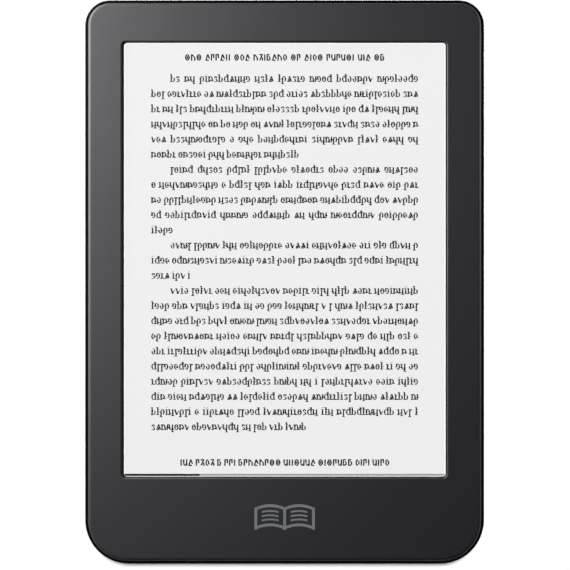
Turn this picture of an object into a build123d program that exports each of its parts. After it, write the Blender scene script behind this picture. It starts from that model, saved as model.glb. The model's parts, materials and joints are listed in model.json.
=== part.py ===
from build123d import *

import os

# E-reader with a 6-inch e-paper display, lying on its back.
#
# Millimetres. +X is to the right seen from the front, +Y is towards the top of the
# device and +Z is out of the screen. The origin is the middle of the back face.

# ---------------------------------------------------------------- driving dimensions

# Outer form
WIDTH = 112.6
LENGTH = 159.02
THICKNESS = 8.66
TOP_CORNER = 7.05
BOTTOM_CORNER = 12.35

# Back cover
WALL = 1.6
FLOOR = 1.3
RIM_Z = 6.8
BACK_EDGE = 4.0
INNER_EDGE = 2.5
RIM_EDGE = 0.12
PANEL_INSET = 7.5
PANEL_DEPTH = 0.15
SMALLEST_CORNER = 3.0
SEAL_STEP_Z = 6.2
SEAL_STEP_INSET = 1.0
SEAL_GAP = 0.05

# Front frame
FRAME_INSET = 0.97
FRAME_BASE_Z = 6.9
FRAME_EDGE = 0.95
WINDOW_WIDTH = 91.66
WINDOW_HEIGHT = 122.84
WINDOW_CORNER = 1.3
WINDOW_CHAMFER = 0.22
WINDOW_X = -0.12
DISPLAY_Y = 6.25
SKIRT_OUTER = 1.7
SKIRT_INNER = 2.9
SKIRT_BASE_Z = 4.2
SKIRT_PORT_GAP = (13, 4)

# Layers of the display, from the front frame's bezel down to the middle frame
BEZEL_THICK = 0.90
MASK_THICK = 0.15
FILM_THICK = 0.20
GUIDE_THICK = 0.40
INK_THICK = 0.25
GLASS_THICK = 0.50
DISPLAY_TAPE_THICK = 0.10
PLATE_THICK = 0.60

MASK_TOP = THICKNESS - BEZEL_THICK
FILM_TOP = MASK_TOP - MASK_THICK
GUIDE_TOP = FILM_TOP - FILM_THICK
INK_TOP = GUIDE_TOP - GUIDE_THICK
GLASS_TOP = INK_TOP - INK_THICK
DISPLAY_TAPE_TOP = GLASS_TOP - GLASS_THICK
PLATE_TOP = DISPLAY_TAPE_TOP - DISPLAY_TAPE_THICK
PLATE_BASE = PLATE_TOP - PLATE_THICK

# Display module in plan
MODULE_HALF_WIDTH = 50.9
MODULE_TOP_Y = 70.8
GLASS_BOTTOM_Y = -67.6
FILM_BOTTOM_Y = -66.0
GUIDE_BOTTOM_Y = -58.5
INK_BOTTOM_Y = -57.5
INK_TOP_Y = 70.0
INK_HALF_WIDTH = 48.5
MASK_WIDTH = 90.6
MASK_HEIGHT = 122.24
MASK_X = 0.06
MASK_CORNER = 0.9
MODULE_GAP = 0.3
POCKET_BOTTOM_Y = -69.6
POCKET_CORNER = 1.0
SHEET_CORNER = 0.3

# Middle frame and main board
PLATE_INSET = 3.1
PLATE_RIM_Z = 6.85
BOARD_THICK = 0.8
BOARD_TOP = 4.4
BOARD_BASE = BOARD_TOP - BOARD_THICK
BOARD_HALF_WIDTH = 48.0
BOARD_TOP_Y = -14.0
BOARD_BOTTOM_Y = -74.5
BOARD_TOP_CORNER = 2.0
BOARD_BOTTOM_CORNER = 8.0
PORT_NOTCH_Y = -75
PORT_NOTCH = (11, 9)

# Screws: thread radius, hole radius and head
SCREW_RADIUS = 0.69
SCREW_HOLE = 0.72
SCREW_PASS = 0.85
SCREW_HEAD = 1.5
SCREW_HEAD_HEIGHT = 0.5
SCREW_SOCKET = 0.65
SCREW_SOCKET_DEPTH = 0.3
SCREW_CHAMFER = 0.12
SCREW_TIP_GAP = 0.1
BOSS_RADIUS = 1.8
BOSS_GAP = 0.2
CHASSIS_SCREW_TOP_Z = 7.9
BOARD_SCREW_TOP_Z = 5.7
CHASSIS_SCREWS = [(-45, 73.8), (0, 73.8), (45, 73.8), (-42, -73.2), (-18, -73.2), (18, -73.2), (42, -73.2)]
BOARD_SCREWS = [(-44, -20), (44, -20), (-44, -57), (44, -57), (-18, -19)]

# Snap hooks that hold the front frame in the back cover
HOOK_LENGTH = 6.0
HOOK_REACH = 0.5
HOOK_HEIGHT = 0.8
HOOK_Z = 4.4
HOOK_GAP = 0.1
SIDE_HOOK_Y = [-52, -24, 4, 32, 60]
END_HOOK_X = [-36, -14, 14, 36]

# Battery
BATTERY_HALF_WIDTH = 30.0
BATTERY_BOTTOM_Y = -4.0
BATTERY_TOP_Y = 64.0
BATTERY_CORNER = 2.0
POUCH_EDGE = 0.7
BATTERY_TAPE_THICK = 0.2
BATTERY_BASE = 2.0
BATTERY_TOP = PLATE_BASE - BATTERY_TAPE_THICK
FENCE_GAP = 0.4
FENCE_THICK = 0.8
FENCE_TOP = 3.2
FENCE_SIDE_LENGTH = 48
FENCE_TOP_LENGTH = 44
FENCE_STUB_LENGTH = 10
FENCE_STUB_X = 20
FENCE_STUB_Y = -5.4

# USB-C port in the bottom edge
USB_Z = 4.0
USB_WIDTH = 8.94
USB_HEIGHT = 3.16
USB_DEPTH = 7.35
USB_SHEET = 0.3
USB_MOUTH_Y = -79.0
USB_BACK_Y = USB_MOUTH_Y + USB_DEPTH
USB_SLOT_GAP = 0.22
USB_SLOT_REACH = 3.5
USB_BOARD_GAP = 0.15

# Power button in the back, over a tact switch on the main board
BUTTON_SPOT = (-36, -50)
BUTTON_RADIUS = 5.3
BUTTON_FACE_Z = 0.25
BUTTON_GAP = 0.1
BUTTON_FLANGE = 6.4
BUTTON_FLANGE_THICK = 0.5
DISH_RADIUS = 7.4
DISH_DEPTH = 0.5
BUTTON_SEAT_Z = 1.0
BUTTON_SEAT_GAP = 0.5
BUTTON_FACE_EDGE = 0.2
BUTTON_STEM = 1.6
BUTTON_HOLLOW_RADIUS = 39.0
BUTTON_HOLLOW_DEPTH = 0.25
SWITCH_BASE_Z = 2.6
SWITCH_TOUCH_Z = 2.2
SWITCH_HALF = 2.3
SWITCH_CORNER = 0.4
PLUNGER_GAP = 0.05

# Status light beside the button
LIGHT_SPOT = (-25, -50)
LIGHT_RADIUS = 0.7
LIGHT_PIPE_TOP_Z = 2.9
LIGHT_PIPE_FLANGE = 1.3
LIGHT_PIPE_FLANGE_THICK = 0.4
STATUS_LED_SIZE = (1.6, 0.8)
STATUS_LED_HEIGHT = 0.6

# Flexible circuits, each with its connector on the main board
FLEX_THICK = 0.08
FLEX_BEND = 0.45
FLEX_PLUG_Z = 5.0
FLEX_END_Y = -63.0
FLEX_BEND_Y = -68.5
FLEX_SIDE_GAP = 0.75
FLEX_SLOT_TOP_Y = -67.9
CONNECTOR_FRONT_Y = -64.6
CONNECTOR_BACK_Y = -60.2
CONNECTOR_HEIGHT = 1.0
CONNECTOR_SLOT = 0.14
CONNECTOR_SLOT_DEPTH = 2.0
CONNECTOR_CHEEK = 0.8
CONNECTOR_SLOPE = 1.2
CONNECTOR_BACK_HEIGHT = 0.8


# ---------------------------------------------------------------- shared shapes


def rounded_outline(inset):
    """The device's outline, pulled in by inset."""
    with BuildSketch() as shape:
        Rectangle(WIDTH - 2 * inset, LENGTH - 2 * inset)
        fillet(shape.vertices().group_by(Axis.Y)[-1], max(TOP_CORNER - inset, SMALLEST_CORNER))
        fillet(shape.vertices().group_by(Axis.Y)[0], max(BOTTOM_CORNER - inset, SMALLEST_CORNER))
    return shape.sketch


def sheet(half_width, low_y, high_y, z, corner=SHEET_CORNER):
    """A rounded rectangle centred on the device's middle line, at height z."""
    with BuildSketch(Plane.XY.offset(z)) as shape:
        with Locations((0, (low_y + high_y) / 2)):
            RectangleRounded(2 * half_width, high_y - low_y, corner)
    return shape.sketch


def flex_profile(x, start_y, start_z, bend_y):
    """A ribbon seen from its side: out past the glass, down and back to its connector."""
    with BuildSketch(Plane.YZ.offset(x)) as shape:
        with BuildLine():
            FilletPolyline(
                (start_y, start_z),
                (bend_y, start_z),
                (bend_y, FLEX_PLUG_Z),
                (FLEX_END_Y, FLEX_PLUG_Z),
                radius=FLEX_BEND,
            )
        trace(line_width=FLEX_THICK)
    return shape.sketch


def screw(head_z, top_z, spot):
    """A flat-headed screw driven upwards, its head under head_z."""
    with BuildPart() as shape:
        with BuildSketch(Plane.XY.offset(head_z - SCREW_HEAD_HEIGHT)):
            with Locations(spot):
                Circle(SCREW_HEAD)
        extrude(amount=SCREW_HEAD_HEIGHT)
        chamfer(shape.edges().group_by(Axis.Z)[0], SCREW_CHAMFER)
        with BuildSketch(Plane.XY.offset(head_z)):
            with Locations(spot):
                Circle(SCREW_RADIUS)
        extrude(amount=top_z - head_z)
        with BuildSketch(Plane.XY.offset(head_z - SCREW_HEAD_HEIGHT)):
            with Locations(spot):
                RegularPolygon(SCREW_SOCKET, 6)
        extrude(amount=SCREW_SOCKET_DEPTH, mode=Mode.SUBTRACT)
    return shape.part


def finish(piece, name):
    """Label a finished piece and write it."""
    piece.part.label = name
    export_step(piece.part, f"parts/{name}.step")


os.makedirs("parts", exist_ok=True)


# ---------------------------------------------------------------- casing

with BuildPart() as back_cover:
    with BuildSketch():
        add(rounded_outline(0))
    extrude(amount=RIM_Z)
    fillet(back_cover.edges().group_by(Axis.Z)[0], BACK_EDGE)
    fillet(back_cover.edges().group_by(Axis.Z)[-1], RIM_EDGE)
    # the hollow, and the step that the perimeter seal sits on
    with BuildSketch(Plane.XY.offset(FLOOR)):
        add(rounded_outline(WALL))
    extrude(amount=RIM_Z - FLOOR, mode=Mode.SUBTRACT)
    fillet(back_cover.edges().filter_by_position(Axis.Z, FLOOR, FLOOR), INNER_EDGE)
    with BuildSketch(Plane.XY.offset(SEAL_STEP_Z)):
        add(rounded_outline(SEAL_STEP_INSET))
    extrude(amount=RIM_Z - SEAL_STEP_Z, mode=Mode.SUBTRACT)
    # pockets that the snap hooks click into
    with BuildSketch(Plane.XY.offset(HOOK_Z - HOOK_GAP)):
        with Locations([(side * (WIDTH / 2 - WALL), y) for side in (-1, 1) for y in SIDE_HOOK_Y]):
            Rectangle(2 * HOOK_REACH, HOOK_LENGTH + 4 * HOOK_GAP)
        with Locations([(x, side * (LENGTH / 2 - WALL)) for side in (-1, 1) for x in END_HOOK_X]):
            Rectangle(HOOK_LENGTH + 4 * HOOK_GAP, 2 * HOOK_REACH)
    extrude(amount=HOOK_HEIGHT + 2 * HOOK_GAP, mode=Mode.SUBTRACT)
    # fence round the battery
    with BuildSketch(Plane.XY.offset(FLOOR)):
        battery_y = (BATTERY_BOTTOM_Y + BATTERY_TOP_Y) / 2
        fence_x = BATTERY_HALF_WIDTH + FENCE_GAP + FENCE_THICK / 2
        fence_top_y = BATTERY_TOP_Y + FENCE_GAP + FENCE_THICK / 2
        with Locations((-fence_x, battery_y), (fence_x, battery_y)):
            Rectangle(FENCE_THICK, FENCE_SIDE_LENGTH)
        with Locations((0, fence_top_y)):
            Rectangle(FENCE_TOP_LENGTH, FENCE_THICK)
        with Locations((-FENCE_STUB_X, FENCE_STUB_Y), (FENCE_STUB_X, FENCE_STUB_Y)):
            Rectangle(FENCE_STUB_LENGTH, FENCE_THICK)
    extrude(amount=FENCE_TOP - FLOOR)
    # slot for the USB-C port through the bottom wall
    with BuildSketch(Plane.XZ.offset(LENGTH / 2)):
        with Locations((0, USB_Z)):
            SlotOverall(USB_WIDTH + 2 * USB_SLOT_GAP, USB_HEIGHT + 2 * USB_SLOT_GAP)
    extrude(amount=-USB_SLOT_REACH, mode=Mode.SUBTRACT)
    # shallow panel in the back, for the grip texture
    with BuildSketch():
        add(rounded_outline(PANEL_INSET))
    extrude(amount=PANEL_DEPTH, mode=Mode.SUBTRACT)
    # finger dish, button hole, its seat for the seal, and the status light's hole
    with Locations((*BUTTON_SPOT, DISH_DEPTH / 2)):
        Cone(DISH_RADIUS, BUTTON_RADIUS + BUTTON_GAP, DISH_DEPTH, mode=Mode.SUBTRACT)
    with BuildSketch():
        with Locations(BUTTON_SPOT):
            Circle(BUTTON_RADIUS + BUTTON_GAP)
        with Locations(LIGHT_SPOT):
            Circle(LIGHT_RADIUS)
    extrude(amount=FLOOR, mode=Mode.SUBTRACT)
    with BuildSketch(Plane.XY.offset(BUTTON_SEAT_Z)):
        with Locations(BUTTON_SPOT):
            Circle(BUTTON_FLANGE + BUTTON_SEAT_GAP)
    extrude(amount=FLOOR - BUTTON_SEAT_Z, mode=Mode.SUBTRACT)
finish(back_cover, "back_cover")

with BuildPart() as front_frame:
    with BuildSketch(Plane.XY.offset(FRAME_BASE_Z)):
        add(rounded_outline(FRAME_INSET))
    extrude(amount=THICKNESS - FRAME_BASE_Z)
    fillet(front_frame.edges().group_by(Axis.Z)[-1], FRAME_EDGE)
    # pocket that takes the display from behind
    module_half = MODULE_HALF_WIDTH + MODULE_GAP
    extrude(
        sheet(module_half, POCKET_BOTTOM_Y, MODULE_TOP_Y + MODULE_GAP, FRAME_BASE_Z, POCKET_CORNER),
        amount=MASK_TOP - FRAME_BASE_Z,
        mode=Mode.SUBTRACT,
    )
    # window, with a fine chamfer round its front edge
    with BuildSketch(Plane.XY.offset(MASK_TOP)):
        with Locations((WINDOW_X, DISPLAY_Y)):
            RectangleRounded(WINDOW_WIDTH, WINDOW_HEIGHT, WINDOW_CORNER)
    extrude(amount=BEZEL_THICK, mode=Mode.SUBTRACT)
    top_edges = front_frame.edges().group_by(Axis.Z)[-1]
    window_edges = top_edges.filter_by(
        lambda edge: abs(edge.center().X) < WIDTH / 2 - WALL - FRAME_EDGE
        and abs(edge.center().Y) < LENGTH / 2 - WALL - FRAME_EDGE
    )
    chamfer(window_edges, WINDOW_CHAMFER)
    # skirt inside the back cover's wall, open over the USB-C port
    with BuildSketch(Plane.XY.offset(SKIRT_BASE_Z)):
        add(rounded_outline(SKIRT_OUTER))
        add(rounded_outline(SKIRT_INNER), mode=Mode.SUBTRACT)
        with Locations((0, -LENGTH / 2 + SKIRT_OUTER)):
            Rectangle(*SKIRT_PORT_GAP, mode=Mode.SUBTRACT)
    extrude(amount=FRAME_BASE_Z - SKIRT_BASE_Z)
    # snap hooks on the skirt
    with BuildSketch(Plane.XY.offset(HOOK_Z)):
        with Locations(
            [(side * (WIDTH / 2 - SKIRT_OUTER), y) for side in (-1, 1) for y in SIDE_HOOK_Y]
        ):
            Rectangle(2 * HOOK_REACH, HOOK_LENGTH)
        with Locations(
            [(x, side * (LENGTH / 2 - SKIRT_OUTER)) for side in (-1, 1) for x in END_HOOK_X]
        ):
            Rectangle(HOOK_LENGTH, 2 * HOOK_REACH)
    extrude(amount=HOOK_HEIGHT)
    # screw bosses with blind holes
    with BuildSketch(Plane.XY.offset(PLATE_TOP)):
        with Locations(CHASSIS_SCREWS):
            Circle(BOSS_RADIUS)
    extrude(amount=FRAME_BASE_Z - PLATE_TOP)
    with BuildSketch(Plane.XY.offset(PLATE_TOP)):
        with Locations(CHASSIS_SCREWS):
            Circle(SCREW_HOLE)
    extrude(amount=CHASSIS_SCREW_TOP_Z + SCREW_TIP_GAP - PLATE_TOP, mode=Mode.SUBTRACT)
finish(front_frame, "front_frame")

with BuildPart() as perimeter_seal:
    with BuildSketch(Plane.XY.offset(SEAL_STEP_Z)):
        add(rounded_outline(SEAL_STEP_INSET + SEAL_GAP))
        add(rounded_outline(WALL - SEAL_GAP), mode=Mode.SUBTRACT)
    extrude(amount=FRAME_BASE_Z - SEAL_STEP_Z)
finish(perimeter_seal, "perimeter_seal")

# ---------------------------------------------------------------- display

with BuildPart() as screen_gasket:
    extrude(sheet(MODULE_HALF_WIDTH, FILM_BOTTOM_Y, MODULE_TOP_Y, FILM_TOP), amount=MASK_THICK)
    with BuildSketch(Plane.XY.offset(FILM_TOP)):
        with Locations((MASK_X, DISPLAY_Y)):
            RectangleRounded(MASK_WIDTH, MASK_HEIGHT, MASK_CORNER)
    extrude(amount=MASK_THICK, mode=Mode.SUBTRACT)
finish(screen_gasket, "screen_gasket")

with BuildPart() as touch_film:
    extrude(sheet(MODULE_HALF_WIDTH, FILM_BOTTOM_Y, MODULE_TOP_Y, GUIDE_TOP), amount=FILM_THICK)
finish(touch_film, "touch_film")

with BuildPart() as light_guide:
    extrude(sheet(MODULE_HALF_WIDTH, GUIDE_BOTTOM_Y, MODULE_TOP_Y, INK_TOP), amount=GUIDE_THICK)
finish(light_guide, "light_guide")

with BuildPart() as eink_laminate:
    extrude(sheet(INK_HALF_WIDTH, INK_BOTTOM_Y, INK_TOP_Y, GLASS_TOP), amount=INK_THICK)
finish(eink_laminate, "eink_laminate")

with BuildPart() as backplane_glass:
    extrude(
        sheet(MODULE_HALF_WIDTH, GLASS_BOTTOM_Y, MODULE_TOP_Y, DISPLAY_TAPE_TOP),
        amount=GLASS_THICK,
    )
finish(backplane_glass, "backplane_glass")

# half width, lower and upper edge of the tape's outside and of its opening
TAPE_OUTSIDE = (49.5, -62.0, 69.5)
TAPE_OPENING = (43.5, -56.0, 63.5)

with BuildPart() as display_tape:
    extrude(sheet(*TAPE_OUTSIDE, PLATE_TOP), amount=DISPLAY_TAPE_THICK)
    extrude(sheet(*TAPE_OPENING, PLATE_TOP), amount=DISPLAY_TAPE_THICK, mode=Mode.SUBTRACT)
finish(display_tape, "display_tape")

DRIVER_ROW_Y = -64.6
DRIVER_PITCH = 26
DRIVER_SIZE = (16, 1.4)
DRIVER_HEIGHT = 0.3

with BuildPart() as driver_chips:
    with BuildSketch(Plane.XY.offset(GLASS_TOP)):
        with Locations((0, DRIVER_ROW_Y)):
            with GridLocations(DRIVER_PITCH, 1, 3, 1):
                Rectangle(*DRIVER_SIZE)
    extrude(amount=DRIVER_HEIGHT)
finish(driver_chips, "driver_chips")

# the front light: a row of LEDs that shine into the light guide's lower edge
LIGHT_FLEX_Z = 6.86
LIGHT_FLEX_THICK = 0.12
LIGHT_FLEX_STRIP = (46.0, -62.8, -57.8)
LED_COUNT = 9
LED_PITCH = 10.4
LED_ROW_Y = -59.3
LED_SIZE = (3.0, 1.2)
LED_HEIGHT = 0.45
LED_BASE = LIGHT_FLEX_Z + LIGHT_FLEX_THICK / 2

# where each ribbon lies across the device, and half its width
LIGHT_RIBBON_X, LIGHT_RIBBON_HALF = 40, 2.5
DISPLAY_RIBBON_X, DISPLAY_RIBBON_HALF = 0, 10
TOUCH_RIBBON_X, TOUCH_RIBBON_HALF = -36, 4
# where each ribbon starts, at its panel's edge
LIGHT_RIBBON_Y = -62.0
DISPLAY_RIBBON_Y = -66.2
TOUCH_RIBBON_Y = -64.8
TOUCH_BEND_Y = -68.8

with BuildPart() as light_bar_flex:
    extrude(
        flex_profile(LIGHT_RIBBON_X, LIGHT_RIBBON_Y, LIGHT_FLEX_Z, FLEX_BEND_Y),
        amount=LIGHT_RIBBON_HALF,
        both=True,
    )
    extrude(sheet(*LIGHT_FLEX_STRIP, LIGHT_FLEX_Z - LIGHT_FLEX_THICK / 2), amount=LIGHT_FLEX_THICK)
finish(light_bar_flex, "light_bar_flex")

with BuildPart() as light_bar_leds:
    with BuildSketch(Plane.XY.offset(LED_BASE)):
        with Locations((0, LED_ROW_Y)):
            with GridLocations(LED_PITCH, 1, LED_COUNT, 1):
                Rectangle(*LED_SIZE)
    extrude(amount=LED_HEIGHT)
finish(light_bar_leds, "light_bar_leds")

with BuildPart() as display_flex:
    extrude(
        flex_profile(DISPLAY_RIBBON_X, DISPLAY_RIBBON_Y, GLASS_TOP + FLEX_THICK / 2, FLEX_BEND_Y),
        amount=DISPLAY_RIBBON_HALF,
        both=True,
    )
finish(display_flex, "display_flex")

with BuildPart() as touch_flex:
    extrude(
        flex_profile(TOUCH_RIBBON_X, TOUCH_RIBBON_Y, GUIDE_TOP - FLEX_THICK / 2, TOUCH_BEND_Y),
        amount=TOUCH_RIBBON_HALF,
        both=True,
    )
finish(touch_flex, "touch_flex")

# ---------------------------------------------------------------- middle frame

# slots that let the ribbons through: middle and width
FLEX_SLOTS = [
    (ribbon_x, 2 * (ribbon_half + FLEX_SIDE_GAP))
    for ribbon_x, ribbon_half in (
        (DISPLAY_RIBBON_X, DISPLAY_RIBBON_HALF),
        (TOUCH_RIBBON_X, TOUCH_RIBBON_HALF),
        (LIGHT_RIBBON_X, LIGHT_RIBBON_HALF),
    )
]

with BuildPart() as mid_frame:
    with BuildSketch(Plane.XY.offset(PLATE_BASE)):
        add(rounded_outline(PLATE_INSET))
    extrude(amount=PLATE_RIM_Z - PLATE_BASE)
    # tray for the display, and wells for the front frame's screw bosses
    extrude(
        sheet(module_half, POCKET_BOTTOM_Y, MODULE_TOP_Y + MODULE_GAP, PLATE_TOP, POCKET_CORNER),
        amount=PLATE_RIM_Z - PLATE_TOP,
        mode=Mode.SUBTRACT,
    )
    with BuildSketch(Plane.XY.offset(PLATE_TOP)):
        with Locations(CHASSIS_SCREWS):
            Circle(BOSS_RADIUS + BOSS_GAP)
    extrude(amount=PLATE_RIM_Z - PLATE_TOP, mode=Mode.SUBTRACT)
    # slots for the flexible circuits, notch over the USB-C port, screw holes
    with BuildSketch(Plane.XY.offset(PLATE_BASE)):
        for slot_x, slot_width in FLEX_SLOTS:
            with Locations((slot_x, (POCKET_BOTTOM_Y + FLEX_SLOT_TOP_Y) / 2)):
                Rectangle(slot_width, FLEX_SLOT_TOP_Y - POCKET_BOTTOM_Y)
        with Locations((0, PORT_NOTCH_Y)):
            Rectangle(*PORT_NOTCH)
        with Locations(CHASSIS_SCREWS):
            Circle(SCREW_PASS)
    extrude(amount=PLATE_RIM_Z - PLATE_BASE, mode=Mode.SUBTRACT)
    # stand-offs for the main board
    with BuildSketch(Plane.XY.offset(BOARD_TOP)):
        with Locations(BOARD_SCREWS):
            Circle(BOSS_RADIUS)
    extrude(amount=PLATE_BASE - BOARD_TOP)
    with BuildSketch(Plane.XY.offset(BOARD_TOP)):
        with Locations(BOARD_SCREWS):
            Circle(SCREW_HOLE)
    extrude(amount=BOARD_SCREW_TOP_Z + SCREW_TIP_GAP - BOARD_TOP, mode=Mode.SUBTRACT)
finish(mid_frame, "mid_frame")

with BuildPart() as chassis_screws:
    for spot in CHASSIS_SCREWS:
        add(screw(PLATE_BASE, CHASSIS_SCREW_TOP_Z, spot))
finish(chassis_screws, "chassis_screws")

with BuildPart() as board_screws:
    for spot in BOARD_SCREWS:
        add(screw(BOARD_BASE, BOARD_SCREW_TOP_Z, spot))
finish(board_screws, "board_screws")

# ---------------------------------------------------------------- battery

with BuildPart() as battery_cell:
    extrude(
        sheet(BATTERY_HALF_WIDTH, BATTERY_BOTTOM_Y, BATTERY_TOP_Y, BATTERY_BASE, BATTERY_CORNER),
        amount=BATTERY_TOP - BATTERY_BASE,
    )
    fillet(battery_cell.faces().group_by(Axis.Z)[0].edges(), POUCH_EDGE)
    fillet(battery_cell.faces().group_by(Axis.Z)[-1].edges(), POUCH_EDGE)
finish(battery_cell, "battery_cell")

# half width, lower and upper edge of the pads above and below the cell
BATTERY_TAPE_PAD = (25, 3, 57)
BATTERY_FOAM_PAD = (24, 6, 54)

with BuildPart() as battery_tape:
    extrude(sheet(*BATTERY_TAPE_PAD, BATTERY_TOP), amount=BATTERY_TAPE_THICK)
finish(battery_tape, "battery_tape")

with BuildPart() as battery_foam:
    extrude(sheet(*BATTERY_FOAM_PAD, FLOOR), amount=BATTERY_BASE - FLOOR)
finish(battery_foam, "battery_foam")

CELL_BOARD_BOTTOM_Y = -8.4
CELL_BOARD_HALF_WIDTH = 12
CELL_BOARD_BASE = 3.2
CELL_BOARD_THICK = 0.8
LEAD_START_Z = 3.6
LEAD_END_Z = 4.9
LEAD_RADIUS = 0.3
LEAD_PITCH = 1.4
LEAD_RISE_Y = (-10.6, -12.7)
LEAD_BEND = 1.5
PLUG_BACK_Y = -14.9
PLUG_STEP_Y = -16.3
PLUG_FRONT_Y = -19.3
PLUG_TIP_HALF_WIDTH = 2.6
PLUG_TIP_HEIGHT = 0.5
PLUG_BODY_HALF_WIDTH = 3.0
PLUG_BODY_HEIGHT = 0.8
PLUG_GAP = 0.1
SOCKET_BACK_Y = -20.6
SOCKET_HALF_WIDTH = 3.4
SOCKET_HEIGHT = 1.0
SOCKET_HOLE_HEIGHT = 0.6
SMALL_CORNER = 0.1

with BuildPart() as battery_board:
    extrude(
        sheet(CELL_BOARD_HALF_WIDTH, CELL_BOARD_BOTTOM_Y, BATTERY_BOTTOM_Y, CELL_BOARD_BASE),
        amount=CELL_BOARD_THICK,
    )
finish(battery_board, "battery_board")

with BuildPart() as battery_leads:
    for lead_x in (-LEAD_PITCH, 0, LEAD_PITCH):
        with BuildLine(Plane.YZ.offset(lead_x)) as lead_route:
            FilletPolyline(
                (CELL_BOARD_BOTTOM_Y, LEAD_START_Z),
                (LEAD_RISE_Y[0], LEAD_START_Z),
                (LEAD_RISE_Y[1], LEAD_END_Z),
                (PLUG_BACK_Y, LEAD_END_Z),
                radius=LEAD_BEND,
            )
        with BuildSketch(Plane.XZ.offset(-CELL_BOARD_BOTTOM_Y)):
            with Locations((lead_x, LEAD_START_Z)):
                Circle(LEAD_RADIUS)
        sweep(path=lead_route.wires()[0])
finish(battery_leads, "battery_leads")

with BuildPart() as battery_plug:
    plug_tip = sheet(
        PLUG_TIP_HALF_WIDTH,
        PLUG_FRONT_Y,
        PLUG_STEP_Y,
        LEAD_END_Z - PLUG_TIP_HEIGHT / 2,
        SMALL_CORNER,
    )
    extrude(plug_tip, amount=PLUG_TIP_HEIGHT)
    plug_body = sheet(
        PLUG_BODY_HALF_WIDTH,
        PLUG_STEP_Y,
        PLUG_BACK_Y,
        LEAD_END_Z - PLUG_BODY_HEIGHT / 2,
        SMALL_CORNER,
    )
    extrude(plug_body, amount=PLUG_BODY_HEIGHT)
finish(battery_plug, "battery_plug")

with BuildPart() as battery_socket:
    extrude(
        sheet(SOCKET_HALF_WIDTH, SOCKET_BACK_Y, PLUG_STEP_Y - PLUG_GAP, BOARD_TOP, SMALL_CORNER),
        amount=SOCKET_HEIGHT,
    )
    socket_hole = sheet(
        PLUG_TIP_HALF_WIDTH + PLUG_GAP,
        PLUG_FRONT_Y - PLUG_GAP,
        PLUG_BACK_Y,
        LEAD_END_Z - SOCKET_HOLE_HEIGHT / 2,
        SMALL_CORNER,
    )
    extrude(socket_hole, amount=SOCKET_HOLE_HEIGHT, mode=Mode.SUBTRACT)
finish(battery_socket, "battery_socket")

# ---------------------------------------------------------------- main board

with BuildPart() as main_board:
    with BuildSketch(Plane.XY.offset(BOARD_BASE)) as board_shape:
        with Locations((0, (BOARD_TOP_Y + BOARD_BOTTOM_Y) / 2)):
            Rectangle(2 * BOARD_HALF_WIDTH, BOARD_TOP_Y - BOARD_BOTTOM_Y)
        fillet(board_shape.vertices().group_by(Axis.Y)[-1], BOARD_TOP_CORNER)
        fillet(board_shape.vertices().group_by(Axis.Y)[0], BOARD_BOTTOM_CORNER)
        # the port sits in a notch in the board's lower edge
        with Locations((0, BOARD_BOTTOM_Y)):
            Rectangle(
                USB_WIDTH + 2 * USB_BOARD_GAP,
                2 * (USB_BACK_Y + USB_BOARD_GAP - BOARD_BOTTOM_Y),
                mode=Mode.SUBTRACT,
            )
        with Locations(BOARD_SCREWS):
            Circle(SCREW_PASS, mode=Mode.SUBTRACT)
    extrude(amount=BOARD_THICK)
finish(main_board, "main_board")

CHIP_CHAMFER = 0.12

# Packages on the board's rear side: name, middle, size in plan and height
REAR_CHIPS = [
    ("processor", (-10, -39), (14.0, 14.0), 1.1),
    ("memory_chip", (5.5, -35.5), (10.0, 11.5), 0.8),
    ("flash_chip", (5.5, -47.0), (11.5, 9.0), 0.9),
    ("power_chip", (28, -34), (7.0, 7.0), 0.9),
    ("display_power_chip", (28, -52), (6.0, 6.0), 0.9),
    ("wireless_module", (-35, -30), (12.0, 13.0), 1.4),
]
for chip_name, chip_spot, chip_size, chip_height in REAR_CHIPS:
    with BuildPart() as chip:
        with BuildSketch(Plane.XY.offset(BOARD_BASE - chip_height)):
            with Locations(chip_spot):
                Rectangle(*chip_size)
        extrude(amount=chip_height)
        chamfer(chip.faces().group_by(Axis.Z)[0].edges(), CHIP_CHAMFER)
    finish(chip, chip_name)

SHIELD_SPOT = (-2.5, -40.5)
SHIELD_SIZE = (34, 27)
SHIELD_SHEET = 0.15
SHIELD_TOP_Z = 2.2
SHIELD_CORNER = 0.8
VENT_RADIUS = 0.6
VENT_PITCH = 4.0
VENT_COLUMNS = 7
VENT_ROWS = 5

with BuildPart() as shield_can:
    with BuildSketch(Plane.XY.offset(SHIELD_TOP_Z)):
        with Locations(SHIELD_SPOT):
            RectangleRounded(*SHIELD_SIZE, SHIELD_CORNER)
    extrude(amount=BOARD_BASE - SHIELD_TOP_Z)
    with BuildSketch(Plane.XY.offset(SHIELD_TOP_Z + SHIELD_SHEET)):
        with Locations(SHIELD_SPOT):
            RectangleRounded(
                SHIELD_SIZE[0] - 2 * SHIELD_SHEET,
                SHIELD_SIZE[1] - 2 * SHIELD_SHEET,
                SHIELD_CORNER - SHIELD_SHEET,
            )
    extrude(amount=BOARD_BASE - SHIELD_TOP_Z - SHIELD_SHEET, mode=Mode.SUBTRACT)
    # vent holes in the lid
    with BuildSketch(Plane.XY.offset(SHIELD_TOP_Z)):
        with Locations(SHIELD_SPOT):
            with GridLocations(VENT_PITCH, VENT_PITCH, VENT_COLUMNS, VENT_ROWS):
                Circle(VENT_RADIUS)
    extrude(amount=SHIELD_SHEET, mode=Mode.SUBTRACT)
finish(shield_can, "shield_can")

INDUCTOR_SPOTS = [(37, -30), (37, -35), (37, -40), (37, -50), (37, -55), (20, -58)]
INDUCTOR_SIDE = 3.0
INDUCTOR_CORNER = 0.4
INDUCTOR_HEIGHT = 1.2
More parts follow.
